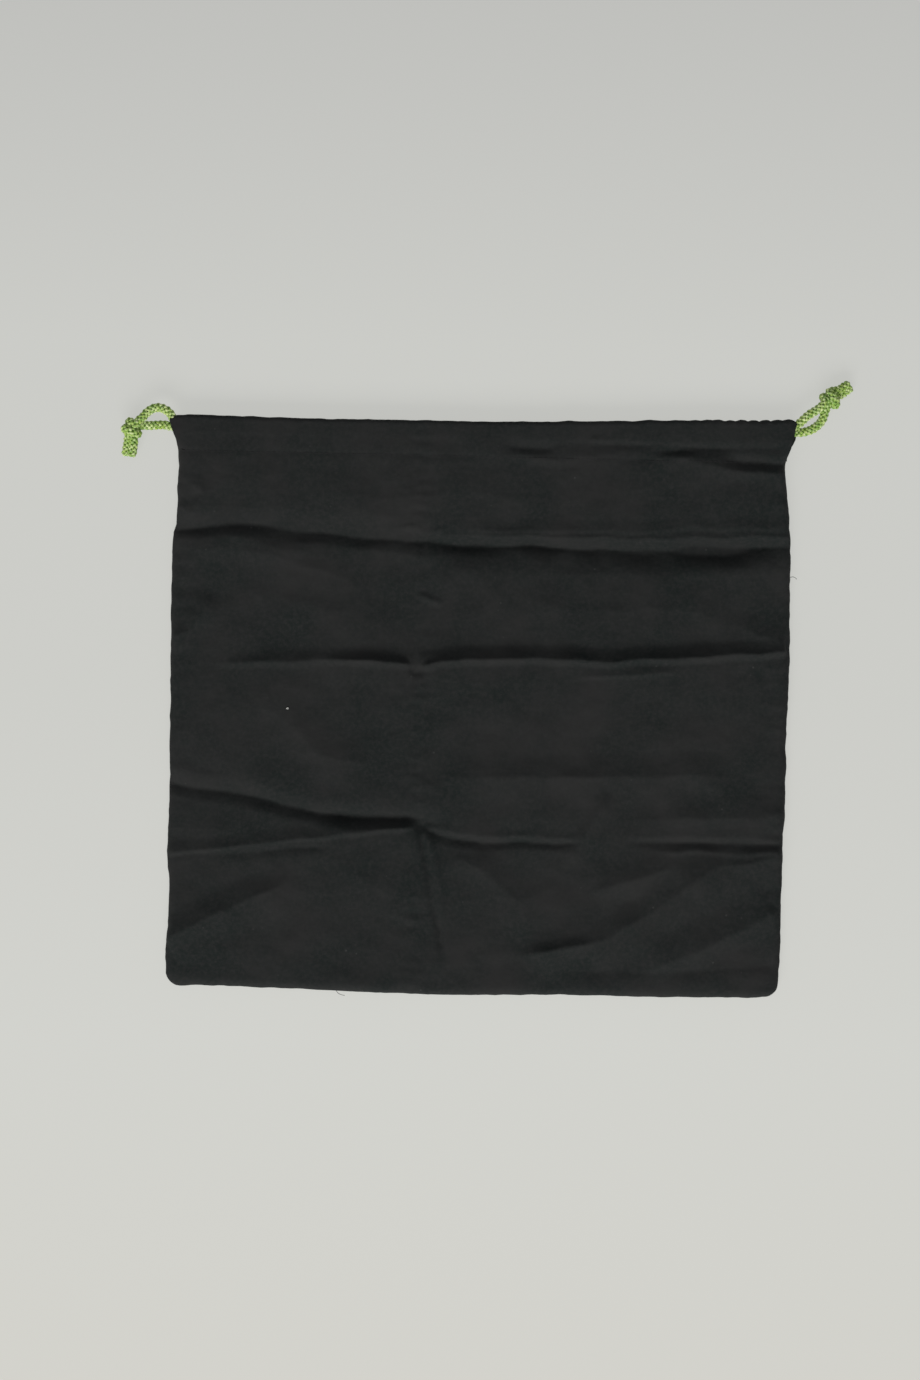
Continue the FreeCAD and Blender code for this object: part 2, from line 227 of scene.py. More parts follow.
def braid(name, points, tips=(False, False), phase_at_end=False, girth=(1, 1)):
    """A braided cord along evenly spaced points, squeezed where it is inside a casing.

    tips says which ends are cut and sealed; girth is how full the cord is at its start and
    from a short way along it.
    """
    tangents, first, second = carried_frames(points)
    gaps = np.linalg.norm(np.diff(points, axis=0), axis=1)
    travelled = np.concatenate(([0], np.cumsum(gaps)))
    length = travelled[-1]
    turn = (travelled - (length if phase_at_end else 0)) * 2 * math.pi / BRAID_TURN
    taper = np.interp(travelled, SQUEEZE_REACH, girth)
    for is_tip, from_end in zip(tips, (travelled, length - travelled)):
        if is_tip:
            rounded = np.clip(from_end / TIP_LENGTH, 0, 1) ** 0.5
            taper = taper * (TIP_GIRTH + (1 - TIP_GIRTH) * rounded)
    parts = []
    crowns = []
    shades = []
    for way in (1, -1):
        for yarn in range(YARNS_EACH_WAY):
            sway, shade = (
                np.array([noise.noise((place / size, way * 3.0, yarn * 5.0)) for place in travelled])
                for size in (SWAY_SIZE, SHADE_SIZE))
            angle = way * turn + yarn * 2 * math.pi / YARNS_EACH_WAY + YARN_SWAY * sway
            out = first * np.cos(angle)[:, None] + second * np.sin(angle)[:, None]
            swing = way * np.cos(YARNS_EACH_WAY * turn)
            radius = (BRAID_RADIUS + BRAID_SWING * swing + YARN_RISE * sway) * taper
            centres = points + out * radius[:, None]
            heading = np.gradient(centres, axis=0)
            heading /= np.linalg.norm(heading, axis=1)[:, None]
            across = np.cross(heading, out)
            parts.append(ring_sweep(
                centres, out, across,
                YARN_HALF_THICK * taper, YARN_HALF_WIDE * (0.92 + 0.08 * swing) * taper))
            # Painted light: crown is how far a yarn stands out, more on its outer side; the cord's
            # finish paints it lighter there and darker in the gaps.
            crown = np.repeat((swing + 1) / 2, RING)
            shades.append(np.repeat(0.5 + shade, RING))
            outer_side = 0.5 + 0.5 * np.cos(np.arange(RING) * 2 * math.pi / RING)
            crowns.append(crown * np.tile(outer_side, len(points)))
    core = np.full(len(points), CORE_RADIUS) * taper
    parts.append(ring_sweep(points, first, second, core, core))
    crowns.append(np.zeros(len(points) * RING))
    shades.append(np.zeros(len(points) * RING))
    vertices = []
    faces = []
    for part_vertices, part_faces in parts:
        start = sum(len(block) for block in vertices)
        vertices.append(part_vertices)
        faces += [tuple(start + index for index in face) for face in part_faces]
    mesh = bpy.data.meshes.new(name)
    mesh.from_pydata(np.concatenate(vertices).tolist(), [], faces)
    for attribute, values in (("crown", crowns), ("shade", shades)):
        stored = mesh.attributes.new(attribute, "FLOAT", "POINT")
        stored.data.foreach_set("value", np.concatenate(values).astype(np.float32))
    mesh.polygons.foreach_set("use_smooth", [True] * len(mesh.polygons))
    piece = bpy.data.objects.new(name, mesh)
    bpy.context.collection.objects.link(piece)
    print(f"{name}: {length / MM:.1f} mm, {len(mesh.polygons)} faces")
    return piece, length


# %% [markdown]
# ## The free ends
# Each free end is one cord from where it leaves the casing, through the knot, to its cut tail.

# %% The four free ends
STEP = 0.36 * MM
cord_pieces = []
free_ends = [
    ("left_front_cord", left_front_route, "left_cord",
     ["left_cord_front_strand", "left_cord_front_tail", "left_cord_knot"]),
    ("left_back_cord", left_back_route, "left_cord",
     ["left_cord_back_strand", "left_cord_back_tail"]),
    ("right_front_cord", right_front_route, "right_cord",
     ["right_cord_front_strand", "right_cord_front_tail", "right_cord_knot"]),
    ("right_back_cord", right_back_route, "right_cord",
     ["right_cord_back_strand", "right_cord_back_tail"]),
]
for name, route, body, stands_for in free_ends:
    points = read_route(name, route, STEP)
    piece, length = braid(name, points, tips=(False, True), girth=(SQUEEZED, 1))
    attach(piece, body)
    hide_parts(*stands_for)
    cord_pieces.append(piece)

# %% [markdown]
# ## The cord inside the casings
# Inside the casings the cord runs straight, and at the far end of the mouth it turns back. It is
# the same braid, and its phase is set at the end where it meets the free cord, so that the two
# look like one cord when it is pulled out.

# %% The straight runs
RUN_STEP = 0.6 * MM
FRONT_CORD_LEVEL = 8.7
BACK_CORD_LEVEL = 2.9
RUN_END = 169.5
cord_lines = {"left_cord": (-1, 154.4, 153.6), "right_cord": (1, 160.6, 158.5)}
for body, (side, near_y, far_y) in cord_lines.items():
    for face, level in (("front", FRONT_CORD_LEVEL), ("back", BACK_CORD_LEVEL)):
        count = int(2 * RUN_END * MM / RUN_STEP)
        xs = np.linspace(-side * RUN_END, side * RUN_END, count)
        ys = np.linspace(far_y, near_y, count)
        line = np.stack((xs, ys, np.full(count, level)), axis=1) * MM
        piece, length = braid(f"{body}_{face}_inner", line, phase_at_end=True,
                              girth=(SQUEEZED, SQUEEZED))
        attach(piece, body)
        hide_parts(f"{body}_{face}_run")
        cord_pieces.append(piece)

# %% The turn at the far end of the mouth
turn_shape = [(0, 1), (2.1, 1), (4.1, 0.86), (4.9, 0.6), (4.9, 0.4), (4.1, 0.14), (2.1, 0), (0, 0)]
turn_rise = FRONT_CORD_LEVEL - BACK_CORD_LEVEL
for body, (side, near_y, far_y) in cord_lines.items():
    turn_route = [(-side * (RUN_END + past), far_y, BACK_CORD_LEVEL + share * turn_rise)
                  for past, share in turn_shape]
    points = read_route(f"{body}_turn_route", turn_route, STEP)
    piece, length = braid(f"{body}_far_turn", points, girth=(SQUEEZED, SQUEEZED))
    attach(piece, "sack")
    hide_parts(f"{body}_turn")
    cord_pieces.append(piece)

# %% [markdown]
# ## The cloth's outline
# Each face of the sack is one piece of cloth: a panel whose top is turned over to make the casing.
# Cut cloth is never a perfect rectangle, so its edges follow a few listed points, with the
# small steps where old folds meet the side seams and the flared corners beside the mouth.

# %% Edges of the sack, in millimetres: a place along each edge, and how far out it is there
LEFT_EDGE = [(-165, -174.5), (-144, -175.1), (-121, -173.9), (-104, -174.2), (-87, -175.7),
             (-58, -174.7), (-24, -175.4), (27, -176), (84, -176.6), (95, -175.9), (99, -174.2),
             (133, -173.8), (142, -174.5), (148, -175.3), (154, -177.7), (158, -179.1), (166, -178.5)]
RIGHT_EDGE = [(-165, 176.3), (-136, 177.3), (-96, 177.6), (-70, 177.5), (-62, 178.5), (-16, 178.1),
              (30, 179.1), (64, 178.5), (87, 178.5), (110, 176.9), (127, 175.3), (139, 174.1),
              (145, 174.5), (150, 176.1), (156, 177.5), (161, 178.3), (167, 180.5)]
MOUTH_EDGE = [(-179, 158.6), (-173, 161.9), (-160, 162.4), (-104, 161.5), (-40, 161.9), (10, 162.1),
              (44, 163.1), (67, 163.7), (101, 165.0), (147, 166.0), (158, 165.7), (169, 166.9),
              (179, 166.4)]
BOTTOM_EDGE = [(-175, -165.3), (-154, -164.3), (-97, -165.2), (-40, -166.7), (-17, -166.8), (17, -166),
               (51, -165.2), (108, -165.2), (165, -164.3), (176, -164.1)]


LEFT_SEED, RIGHT_SEED, BOTTOM_SEED, MOUTH_SEED = 1.7, 2.6, 4.2, 9.1
SCALLOP = 6.6
print("sack's width at the middle in mm:", RIGHT_EDGE[6][1] - LEFT_EDGE[7][1])


# %% Reading an edge
def edge_at(edge, values, seed):
    """Read an edge at given places, between its points, with the raggedness of soft cloth."""
    places, offsets = zip(*edge)
    ragged = [0.55 * noise.noise((value / 9, seed, 0)) + 0.2 * noise.noise((value / 3, seed, 5))
              for value in values.ravel()]
    return np.interp(values, places, offsets) + np.array(ragged).reshape(values.shape)


def mouth_at(values):
    """The mouth's edge, which is scalloped near its right end where the cord has puckered it."""
    scallops = 0.45 * np.sin(values * 2 * math.pi / SCALLOP) * smooth(values, 100, 150)
    return edge_at(MOUTH_EDGE, values, MOUTH_SEED) + scallops


def smooth(value, low, high):
    """A soft step from 0 at low to 1 at high."""
    share = np.clip((value - low) / (high - low), 0, 1)
    return share * share * (3 - 2 * share)


# %% [markdown]
# ## Folds in the cloth
# The sack was stored folded, so sharp creases cross it, with soft creases between them. Each one
# is a line of a few points with a height and a width on each side: a crease that is steep on one
# side and slow on the other reads as a pressed fold. A height of less than zero makes a groove.
# Cloth simulation could find soft folds but not these pressed ones, which have their own places.

# %% A crease as a height over the plane
def near_line(x, y, line):
    """Signed distance to a line (positive on its left), and how far along it the nearest point is."""
    best = np.full(x.shape, 1e9)
    signed = np.zeros(x.shape)
    along = np.zeros(x.shape)
    travelled = 0.0
    for (x0, y0), (x1, y1) in zip(line, line[1:]):
        length = math.hypot(x1 - x0, y1 - y0)
        ux, uy = (x1 - x0) / length, (y1 - y0) / length
        reach = np.clip((x - x0) * ux + (y - y0) * uy, 0, length)
        away = np.hypot(x - x0 - reach * ux, y - y0 - reach * uy)
        side = np.sign(ux * (y - y0) - uy * (x - x0))
        closer = away < best
        best = np.where(closer, away, best)
        signed = np.where(closer, away * side, signed)
        along = np.where(closer, travelled + reach, along)
        travelled += length
    return signed, along, travelled


REACH = 1.8
CREST = 1.4


def crease(x, y, line, height, above, below, fade=(12, 12)):
    """The height that one crease adds: above and below are its widths on the two sides."""
    signed, along, length = near_line(x, y, line)
    width = np.where(signed > 0, above, below)
    sharp = np.clip(1 - np.abs(signed) / (REACH * width), 0, 1) ** CREST
    return height * sharp * smooth(along, 0, fade[0]) * smooth(length - along, 0, fade[1])


# %% The creases of the front, in millimetres: line, height, width above, width below, fades
FRONT_CREASES = [
    # the fold nearest the mouth: a sharp valley on the left, a wide one with pressed lines right
    ([(-178, 96.2), (-160, 97.7), (-137, 99.7), (-112, 98.2)], -3.0, 6.0, 3.6, (3, 16)),
    ([(-130, 99.2), (-93, 96.4), (-55, 93.4), (-21, 92), (14, 91.5)], -3.0, 7.0, 4.2, (26, 30)),
    ([(-30, 91), (21, 91.5), (60, 91), (100, 91.5), (164, 94), (178, 95)], -5.8, 3.0, 8.6, (24, 30)),
    ([(90, 91.5), (130, 92.5), (178, 95)], -2.4, 3.0, 7.0, (30, 2)),
    ([(-36, 96), (0, 97), (55, 96), (97, 96.5), (130, 98), (178, 99)], 1.1, 3.0, 1.1, (20, 4)),
    ([(-30, 101), (20, 100), (70, 101), (97, 101), (125, 104), (178, 104)], 0.7, 3.5, 1.2, (30, 4)),
    ([(-52, 97), (-40, 101), (-30, 97), (-18, 101)], 0.7, 1.6, 1.6, (6, 6)),
    ([(-174, 82), (-150, 87), (-120, 83), (-88, 74), (-50, 62)], 1.7, 9, 9, (22, 50)),
    # the middle fold: a ridge right across, pinched where the upright fold meets it
    ([(-166, 20.5), (-120, 21.5), (-73, 24), (-36, 21.5)], 1.7, 3.6, 2.0, (50, 4)),
    ([(-94, 22.8), (-60, 24.2), (-36, 21.5)], 1.4, 3.6, 1.3, (26, 3)),
    ([(-34, 21.5), (-20, 24), (22, 26.8), (80, 26.3), (117, 28.8), (178, 34)], 3.3, 4.8, 1.9, (4, 3)),
    ([(-150, 19), (-73, 22), (-34, 20), (22, 25), (80, 24.4), (178, 33)], 1.3, 6, 26, (40, 3)),
    ([(55, 17), (85, 18), (116, 21)], 1.0, 3.6, 1.0, (14, 12)),
    ([(-46, 29), (-40, 24), (-35, 17), (-30, 23), (-25, 28)], -1.5, 1.6, 2.0, (5, 5)),
    ([(-37, 8), (-35, 17)], -1.2, 1.2, 1.2, (3, 3)),
    # the lowest fold, left: a wedge between a dark upper crease and a thin lower one
    ([(-178, -47.5), (-128, -55.5), (-99, -62.5), (-71, -66.6), (-32, -66.3), (-14, -71)],
     -2.6, 5.0, 4.2, (3, 12)),
    ([(-110, -60.5), (-85, -65), (-60, -67.2), (-34, -66.5)], -1.9, 3.0, 3.4, (20, 5)),
    ([(-176, -89.5), (-127, -83), (-76, -76), (-32, -70.8)], 1.8, 4.2, 1.0, (3, 8)),
    ([(-120, -76), (-76, -74), (-32, -69)], 0.9, 8, 14, (40, 6)),
    ([(-150, -90), (-120, -86), (-80, -82)], -0.7, 1.2, 2.6, (16, 12)),
    # the lowest fold, right: two pressed lines
    ([(-33, -68), (-24, -74), (5, -78.6), (40, -78.5), (68, -78)], -1.7, 2.0, 3.0, (4, 22)),
    ([(-24, -70), (5, -75.5), (40, -75), (66, -75.5)], 0.7, 3.0, 1.2, (8, 16)),
    ([(84, -76.8), (130, -76), (178, -76.5)], -1.3, 1.4, 2.4, (24, 3)),
    ([(84, -73.5), (130, -72.5), (178, -73.5)], 0.5, 3.0, 1.3, (24, 3)),
    ([(100, -82), (138, -81.5), (178, -81)], 0.8, 2.0, 1.3, (16, 3)),
    # the upright fold
    ([(-37, 138), (-35, 120), (-37, 100), (-33, 60)], 0.5, 1.4, 1.6, (14, 14)),
    ([(-34, 20), (-29, -10), (-31, -40), (-31, -70)], 0.6, 1.4, 1.4, (6, 6)),
    ([(-30.5, -70), (-24, -102), (-19, -128), (-15, -148)], -1.6, 1.1, 1.6, (4, 14)),
    ([(-27, -70), (-20, -102), (-15, -128)], 0.9, 2.6, 1.6, (4, 14)),
    # soft diagonals
    ([(26, -144), (52, -138), (79, -132), (113, -109), (139, -89), (178, -83)], 2.6, 7.0, 10, (20, 3)),
    ([(20, -144.5), (52, -138), (80, -131)], 1.7, 3.4, 6, (20, 24)),
    ([(96, -151), (135, -136), (176, -114)], 2.1, 8, 6, (20, 5)),
    ([(30, -150), (90, -151.5), (140, -149), (176, -145)], -1.0, 9, 5, (40, 5)),
    ([(-176, -139), (-147, -123), (-119, -110), (-93, -97)], 2.9, 7.0, 11, (4, 34)),
    ([(-17, -85), (6, -95), (28, -112), (36, -138)], 1.5, 7, 8, (14, 30)),
    ([(52, -94), (63, -76), (71, -62), (78, -48)], 1.5, 4.6, 4.2, (12, 12)),
    ([(64, -106), (93, -98), (122, -88)], 1.6, 6, 7, (14, 16)),
    ([(-150, 2), (-122, -4), (-104, -15), (-88, -31), (-53, -37)], 1.6, 9, 10, (26, 24)),
    ([(-22, -42), (30, -41), (75, -39.5), (120, -38), (160, -38)], 1.9, 8, 10, (24, 40)),
    ([(85, -64), (118, -62), (160, -62), (178, -58)], 1.4, 8, 8, (16, 6)),
    ([(-176, 34), (-166, 38), (-158, 48), (-152, 62)], 2.2, 6, 6, (4, 12)),
    ([(-150, 96), (-120, 88), (-90, 84)], 1.2, 5, 7, (12, 14)),
    ([(146, 52), (160, 44), (178, 40)], 1.6, 6, 6, (12, 4)),
    ([(20, 62), (60, 54), (110, 58), (150, 50)], 1.1, 12, 12, (24, 24)),
    ([(-120, 60), (-80, 52), (-50, 56)], 1.0, 10, 12, (20, 20)),
    ([(-100, 122), (-60, 116), (-10, 121), (40, 117)], 0.9, 8, 8, (24, 24)),
    ([(-176, 112), (-163, 106), (-158, 118), (-168, 126)], 1.2, 3, 4, (4, 6)),
    ([(-34, 62), (-27, 59), (-20, 57)], 1.1, 1.8, 2, (3, 4)),
    # crumpled cloth below the casing, towards the right
    ([(-4, 142.5), (40, 141.5), (78, 142)], 1.1, 5.0, 2.6, (26, 26)),
    ([(94, 142.6), (120, 141.7), (146, 136.8), (178, 135.5)], 1.3, 3.4, 4.0, (24, 4)),
    ([(10, 147.7), (30, 147.2), (46, 149)], -1.0, 2.4, 3.0, (12, 12)),
    ([(60, 150.2), (84, 151.6), (102, 150.4)], -1.6, 2.6, 3.2, (12, 12)),
    ([(96, 147.7), (108, 146.5), (124, 148.3)], -1.2, 1.8, 2.4, (10, 10)),
    ([(98, 151), (118, 152), (132, 150.5), (150, 150.4)], -2.4, 4.2, 4.6, (16, 16)),
    ([(134, 145), (150, 142.4), (164, 141.5), (178, 141.2)], -2.1, 3.0, 3.6, (16, 3)),
    ([(130, 150), (150, 149.4), (174, 151)], -1.1, 3.4, 4.0, (16, 6)),
    ([(60, 155), (72, 151.5), (84, 156)], 1.0, 1.8, 2.6, (5, 5)),
    ([(96, 154), (112, 157), (128, 153)], 1.0, 2.2, 2.0, (6, 6)),
]
print("creases on the front:", len(FRONT_CREASES))


# %% [markdown]
# ## Lie of the front cloth
# The front cloth lies low over the empty sack, climbs a little to the casing with its cords, and
# rolls over at the mouth. At the sides and the bottom it rolls down to the seam. A few slow noises
# keep it from lying like card, and a soft floor keeps the grooves from cutting down to the cords.

# %% Slow noise, and the waves of limp cloth
def slow_noise(x, y, size, seed):
    """Smooth random heights between about -1 and 1, with bumps of the given size."""
    values = [noise.noise((a / size, b / size, seed)) for a, b in zip(x.ravel(), y.ravel())]
    return np.array(values).reshape(x.shape)


# Each wave has a height, a squash along Y, a size and a seed.
WAVES = [(1.1, 1.4, 52, 3.1), (0.85, 1.2, 19, 7.7), (0.34, 1.1, 9, 1.3), (0.05, 1, 3, 12.4)]
STITCH_LINE = 141.6
UPRIGHT_FOLD = -33
SIDES = (-174, 176)


def puckers_at(x, y):
    """Small puckers beside the casing's stitches, down the upright fold and at the side seams."""
    casing = 0.35 * slow_noise(x, y / 5, 4.5, 30.0) * np.exp(-np.abs(y - STITCH_LINE) / 7)
    patchy = np.clip(0.55 + 1.3 * slow_noise(x, y, 26, 41.0), 0, 1.4)
    near_fold = np.exp(-np.abs(x - UPRIGHT_FOLD) / 8)
    upright = 1.1 * patchy * slow_noise(x / 2.6, y, 4.5, 31.0) * near_fold
    to_side = np.minimum(np.abs(x - SIDES[0]), np.abs(x - SIDES[1]))
    sides = 0.7 * slow_noise(x / 5, y, 5.5, 33.0) * np.exp(-to_side / 9)
    return casing + upright + sides


# %% Height of the front cloth
SEAM_LEVEL = 3.4
LOW_LEVEL = 7.4
CASING_LEVEL = 11.6
LOWEST = 1.4
CORD_COVER = 11.5
FOLD_DEPTH = 1.25
SEAM_GROOVE = 0.4
SOFTNESS = 0.4


def front_height(x, y):
    """Height of the front cloth away from its edges, in millimetres."""
    wander_x = x + 1.8 * slow_noise(x, y, 21, 40.0)
    wander_y = y + 1.5 * slow_noise(x, y, 19, 50.0) + 0.2 * slow_noise(x, y, 6, 55.0)
    strength = FOLD_DEPTH * (1 + 0.45 * slow_noise(x, y, 24, 60.0))
    folds = strength * sum(crease(wander_x, wander_y, *values) for values in FRONT_CREASES)
    folds = folds * (1 - 0.8 * smooth(y, 152, 157))
    waves = sum(height * slow_noise(x, y * squash, size, seed)
                for height, squash, size, seed in WAVES)
    waves = waves * (1 - 0.55 * smooth(y, 148, 156))
    groove = -SEAM_GROOVE * np.exp(-np.abs(y - STITCH_LINE) / 1.1)
    level = LOW_LEVEL + (CASING_LEVEL - LOW_LEVEL) * smooth(y, 60, 154)
    level = level + folds + waves + puckers_at(x, y) + groove
    support = LOWEST + (CORD_COVER - LOWEST) * smooth(y, 145, 152.6)
    return support + 0.5 * (level - support + np.sqrt((level - support) ** 2 + SOFTNESS))


sample_x, sample_y = np.meshgrid(np.linspace(-160, 160, 9), np.linspace(-150, 140, 9))
sample = front_height(sample_x, sample_y)
print("front cloth's height in mm:", round(sample.min(), 1), "to", round(sample.max(), 1))


# %% [markdown]
# The cloth starts as a flat grid of the size it was cut to. Its rows are closer together where the
# cloth rolls over, because a tight roll needs more points than a flat stretch. Every vertex is then
# moved to its place: this is sculpting by rule.

# %% Rows and columns of a cloth grid
PANEL_WIDTH = 350
PANEL_HEIGHT = 324
WOVEN_SIZE = (0.350, 0.352)
COLUMNS = 226
EDGE_ROLL = 4.6
CORNER_RADIUS = 9.0
roll_share = [0, 0.03, 0.11, 0.24, 0.42, 0.68, 1.0]


def cloth_columns():
    """Places across the cloth, closer together beside the seams."""
    edge = np.array(roll_share) * EDGE_ROLL
    inner = np.linspace(EDGE_ROLL, PANEL_WIDTH - EDGE_ROLL, COLUMNS - 2 * len(edge) + 2)
    return np.concatenate((edge, inner[1:-1], PANEL_WIDTH - edge[::-1])) / PANEL_WIDTH


def cloth_rows(spacing):
    """Places up the panel, closer together beside the bottom seam."""
    edge = np.array(roll_share) * EDGE_ROLL
    inner = np.arange(EDGE_ROLL + spacing, PANEL_HEIGHT, spacing)
    return np.concatenate((edge, inner, [PANEL_HEIGHT])) / PANEL_HEIGHT


def rounded_corner(x, y, left, right, bottom):
    """Draw the two bottom corners in to a rounded outline."""
    for edge, side in ((left, -1), (right, 1)):
        across = np.clip(1 - np.abs(edge - x) / CORNER_RADIUS, 0, 1)
        down = np.clip(1 - (y - bottom) / CORNER_RADIUS, 0, 1)
        new_across = across * np.sqrt(1 - down ** 2 / 2)
        new_down = down * np.sqrt(1 - across ** 2 / 2)
        x = x + side * (new_across - across) * CORNER_RADIUS
        y = y - (new_down - down) * CORNER_RADIUS
    return x, y


def grid_piece(name, x, y, z, flat):
    """A grid primitive with its vertices moved to given places in millimetres.

    flat is the size in metres that its UV map covers, for the weave.
    """
    rows, columns = x.shape
    bpy.ops.object.select_all(action="DESELECT")
    bpy.ops.mesh.primitive_grid_add(x_subdivisions=columns - 1, y_subdivisions=rows - 1, size=1)
    piece = bpy.context.object
    piece.name = name
    piece.data.name = name
    places = np.stack((x, y, z), axis=2).reshape(-1, 3) * MM
    piece.data.vertices.foreach_set("co", places.ravel())
    corner_uv = piece.data.uv_layers[0].data
    uv = np.empty(len(corner_uv) * 2)
    corner_uv.foreach_get("uv", uv)
    uv = uv.reshape(-1, 2) * np.array(flat)
    corner_uv.foreach_set("uv", uv.ravel())
    piece.data.update()
    bpy.ops.object.shade_smooth()
    print(f"{name}: {rows} rows, {columns} columns, {len(piece.data.polygons)} faces")
    return piece


# %% Places of a cloth's panel, for both faces of the sack
FOLD_RADIUS = 2.8
PLY_DOWN = 20
PLY_FREE = 9
SLIT_CUT = 0.035


def panel_places(columns, rows, flare):
    """Plan places of a panel's vertices, and how fully each has risen from its seams, 0 to 1."""
    share_x, share_y = np.meshgrid(columns, rows)
    x = PANEL_WIDTH * (share_x - 0.5)
    mouth = mouth_at(x) - FOLD_RADIUS
    bottom = edge_at(BOTTOM_EDGE, x, BOTTOM_SEED)
    y = bottom + (mouth - bottom) * share_y
    left = edge_at(LEFT_EDGE, y, LEFT_SEED)
    right = edge_at(RIGHT_EDGE, y, RIGHT_SEED) + flare * smooth(y, 148, 156)
    x = left + (right - left) * share_x
    side_roll = np.sqrt(1 - (1 - np.clip(np.minimum(x - left, right - x) / EDGE_ROLL, 0, 1)) ** 2)
    bottom_roll = np.sqrt(1 - (1 - np.clip((y - bottom) / EDGE_ROLL, 0, 1)) ** 2)
    seamed = 1 - smooth(y, 140, 149)
    roll = bottom_roll * (1 - seamed * (1 - side_roll))
    x_round, y_round = rounded_corner(x, y, left, right, bottom)
    return x_round, y_round, roll


def casing_rows(last_x, last_y, last_z, way, ply_lift):
    """Rows that roll over at the mouth and come back down inside as the casing's other ply."""
    rows = []
    for angle in np.radians(np.linspace(90, -90, 13)[1:]):
        drop = way * FOLD_RADIUS * (1 - math.sin(angle))
        pull_in = 1 - SLIT_CUT * (1 - math.sin(angle)) / 2
        rows.append((last_x * pull_in, last_y + FOLD_RADIUS * math.cos(angle), last_z - drop))
    for down in np.linspace(0, PLY_DOWN, 14)[1:]:
        pull_in = 1 - SLIT_CUT
        lift = way * ply_lift * smooth(np.full(last_z.shape, down), PLY_FREE, PLY_DOWN)
        rows.append((last_x * pull_in, last_y - down, last_z - way * 2 * FOLD_RADIUS + lift))
    return [np.array(block) for block in zip(*rows)]


# %% Front cloth: panel, casing, roll at the mouth and the ply turned in
x, y, roll = panel_places(cloth_columns(), cloth_rows(1.08), 0)
z = SEAM_LEVEL + (front_height(x, y) - SEAM_LEVEL) * roll
inner_x, inner_y, inner_z = casing_rows(x[-1], y[-1], z[-1], 1, 3.0)
front_cloth = grid_piece("front_cloth", np.vstack((x, inner_x)), np.vstack((y, inner_y)),
                         np.vstack((z, inner_z)), WOVEN_SIZE)
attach(front_cloth, "sack")
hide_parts("front_panel", "front_casing")

# %% [markdown]
# ## The back cloth
# The back cloth is the same cut, lying on the table. Its edges roll up to meet the front cloth at
# the seams, and its casing is turned in above it.

# %% Back cloth
x, y, roll = panel_places(cloth_columns()[::2], cloth_rows(3.0), 2.6)
z = 0.25 + 0.15 * np.abs(slow_noise(x, y, 30, 21.0))
z = SEAM_LEVEL + (z - SEAM_LEVEL) * roll
inner_x, inner_y, inner_z = casing_rows(x[-1], y[-1], z[-1], -1, 4.6)
back_cloth = grid_piece("back_cloth", np.vstack((x, inner_x)), np.vstack((y, inner_y)),
                        np.vstack((z, inner_z)), WOVEN_SIZE)
bpy.ops.object.mode_set(mode="EDIT")
bpy.ops.mesh.select_all(action="SELECT")
bpy.ops.mesh.flip_normals()
bpy.ops.object.mode_set(mode="OBJECT")
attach(back_cloth, "sack")
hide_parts("back_panel", "back_casing")

# %% [markdown]
# ## The seams
# The sack was sewn inside out and then turned. So the cut edges of both cloths are inside: two
# plies together, 8 mm wide, all along the sides and the bottom. They are short of the corners,
# where they would be too thick to turn.

# %% Seam allowances
ALLOWANCE = 8.0
EDGE_INSET = 1.5
PLIES = 0.9


def allowance_piece(name, outer_x, outer_y, inner_x, inner_y, node):
    """A strip of two plies between an outer line and an inner one."""
    across = np.linspace(0, 1, 5)[:, None]
    x = outer_x * (1 - across) + inner_x * across
    y = outer_y * (1 - across) + inner_y * across
    z = SEAM_LEVEL - PLIES / 2 + 0.2 * slow_noise(x, y, 6, 14.0)
    strip = grid_piece(name, x, y, z, (0.3, ALLOWANCE * MM))
    thicken = strip.modifiers.new("two_plies", "SOLIDIFY")
    thicken.thickness = PLIES * MM
    thicken.offset = 0
    bpy.ops.object.modifier_apply(modifier="two_plies")
    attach(strip, "sack")
    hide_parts(node)
    return strip


seam_pieces = []
along_y = np.linspace(-150, 139, 100)
side_seams = [("left", -1, LEFT_EDGE, LEFT_SEED), ("right", 1, RIGHT_EDGE, RIGHT_SEED)]
for name, side, edge, seed in side_seams:
    outer = edge_at(edge, along_y, seed) - side * EDGE_INSET
    seam_pieces.append(allowance_piece(
        f"{name}_seam_allowance", outer, along_y, outer - side * ALLOWANCE, along_y,
        f"{name}_side_seam"))
along_x = np.linspace(-158, 158, 110)
outer = edge_at(BOTTOM_EDGE, along_x, BOTTOM_SEED) + EDGE_INSET
seam_pieces.append(allowance_piece(
    "bottom_seam_allowance", along_x, outer, along_x, outer + ALLOWANCE, "bottom_seam"))

# %% [markdown]
# ## Sewing
# A machine stitch shows as short, fat lengths of thread with a dimple between them. One stitch is
# modelled and laid again and again along the seam.

# %% One stitch
STITCH_LENGTH = 2.5
STITCH_GAP = 0.55
STITCH_SIZE = (STITCH_LENGTH, 0.48, 0.42)
bpy.ops.object.select_all(action="DESELECT")
bpy.ops.mesh.primitive_uv_sphere_add(segments=8, ring_count=6, radius=0.5 * MM,
                                     rotation=(0, math.pi / 2, 0))
bpy.ops.object.transform_apply(location=False, rotation=True, scale=False)
one_stitch = bpy.context.object
one_stitch.name = "one_stitch"
one_stitch.scale = STITCH_SIZE
bpy.ops.object.transform_apply(location=False, rotation=False, scale=True)
bpy.ops.object.shade_smooth()
print("one stitch in mm:", STITCH_SIZE)


